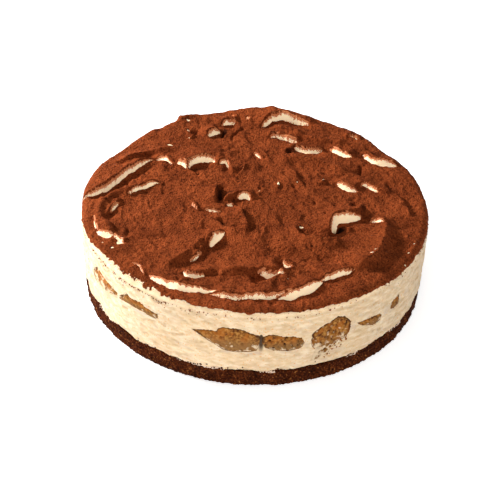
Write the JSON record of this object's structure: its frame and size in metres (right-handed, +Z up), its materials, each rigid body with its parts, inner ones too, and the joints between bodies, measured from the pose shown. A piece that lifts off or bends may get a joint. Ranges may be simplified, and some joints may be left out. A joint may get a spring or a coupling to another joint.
{
  "type": "tiramisu cake",
  "caption": "Round tiramisu cake: dark sponge foot, mascarpone cream wall with ladyfinger ends showing, and a swirled top dusted with cocoa.",
  "frame": {"origin": "centre of the round foot, on the surface that the cake stands on", "axes": "+Z up through the middle of the cake; the side where the ladyfinger ends show best faces -Y"},
  "size_m": [0.1998, 0.1994, 0.0587],
  "materials": {
    "chocolate_sponge": "moist, crumbly dark chocolate sponge",
    "mascarpone_cream": "smooth cream with a soft satin sheen",
    "cocoa_powder": "dry, dull cocoa powder",
    "ladyfinger": "coffee-soaked sponge biscuit, porous and dull"
  },
  "bodies": {
    "root": {"chocolate_sponge": "chocolate_sponge", "mascarpone_cream": "mascarpone_cream", "cocoa_top": "cocoa_powder", "ladyfinger_1": "ladyfinger", "ladyfinger_2": "ladyfinger", "ladyfinger_3": "ladyfinger", "ladyfinger_4": "ladyfinger", "ladyfinger_5": "ladyfinger", "ladyfinger_6": "ladyfinger", "ladyfinger_7": "ladyfinger"}
  },
  "joints": []
}
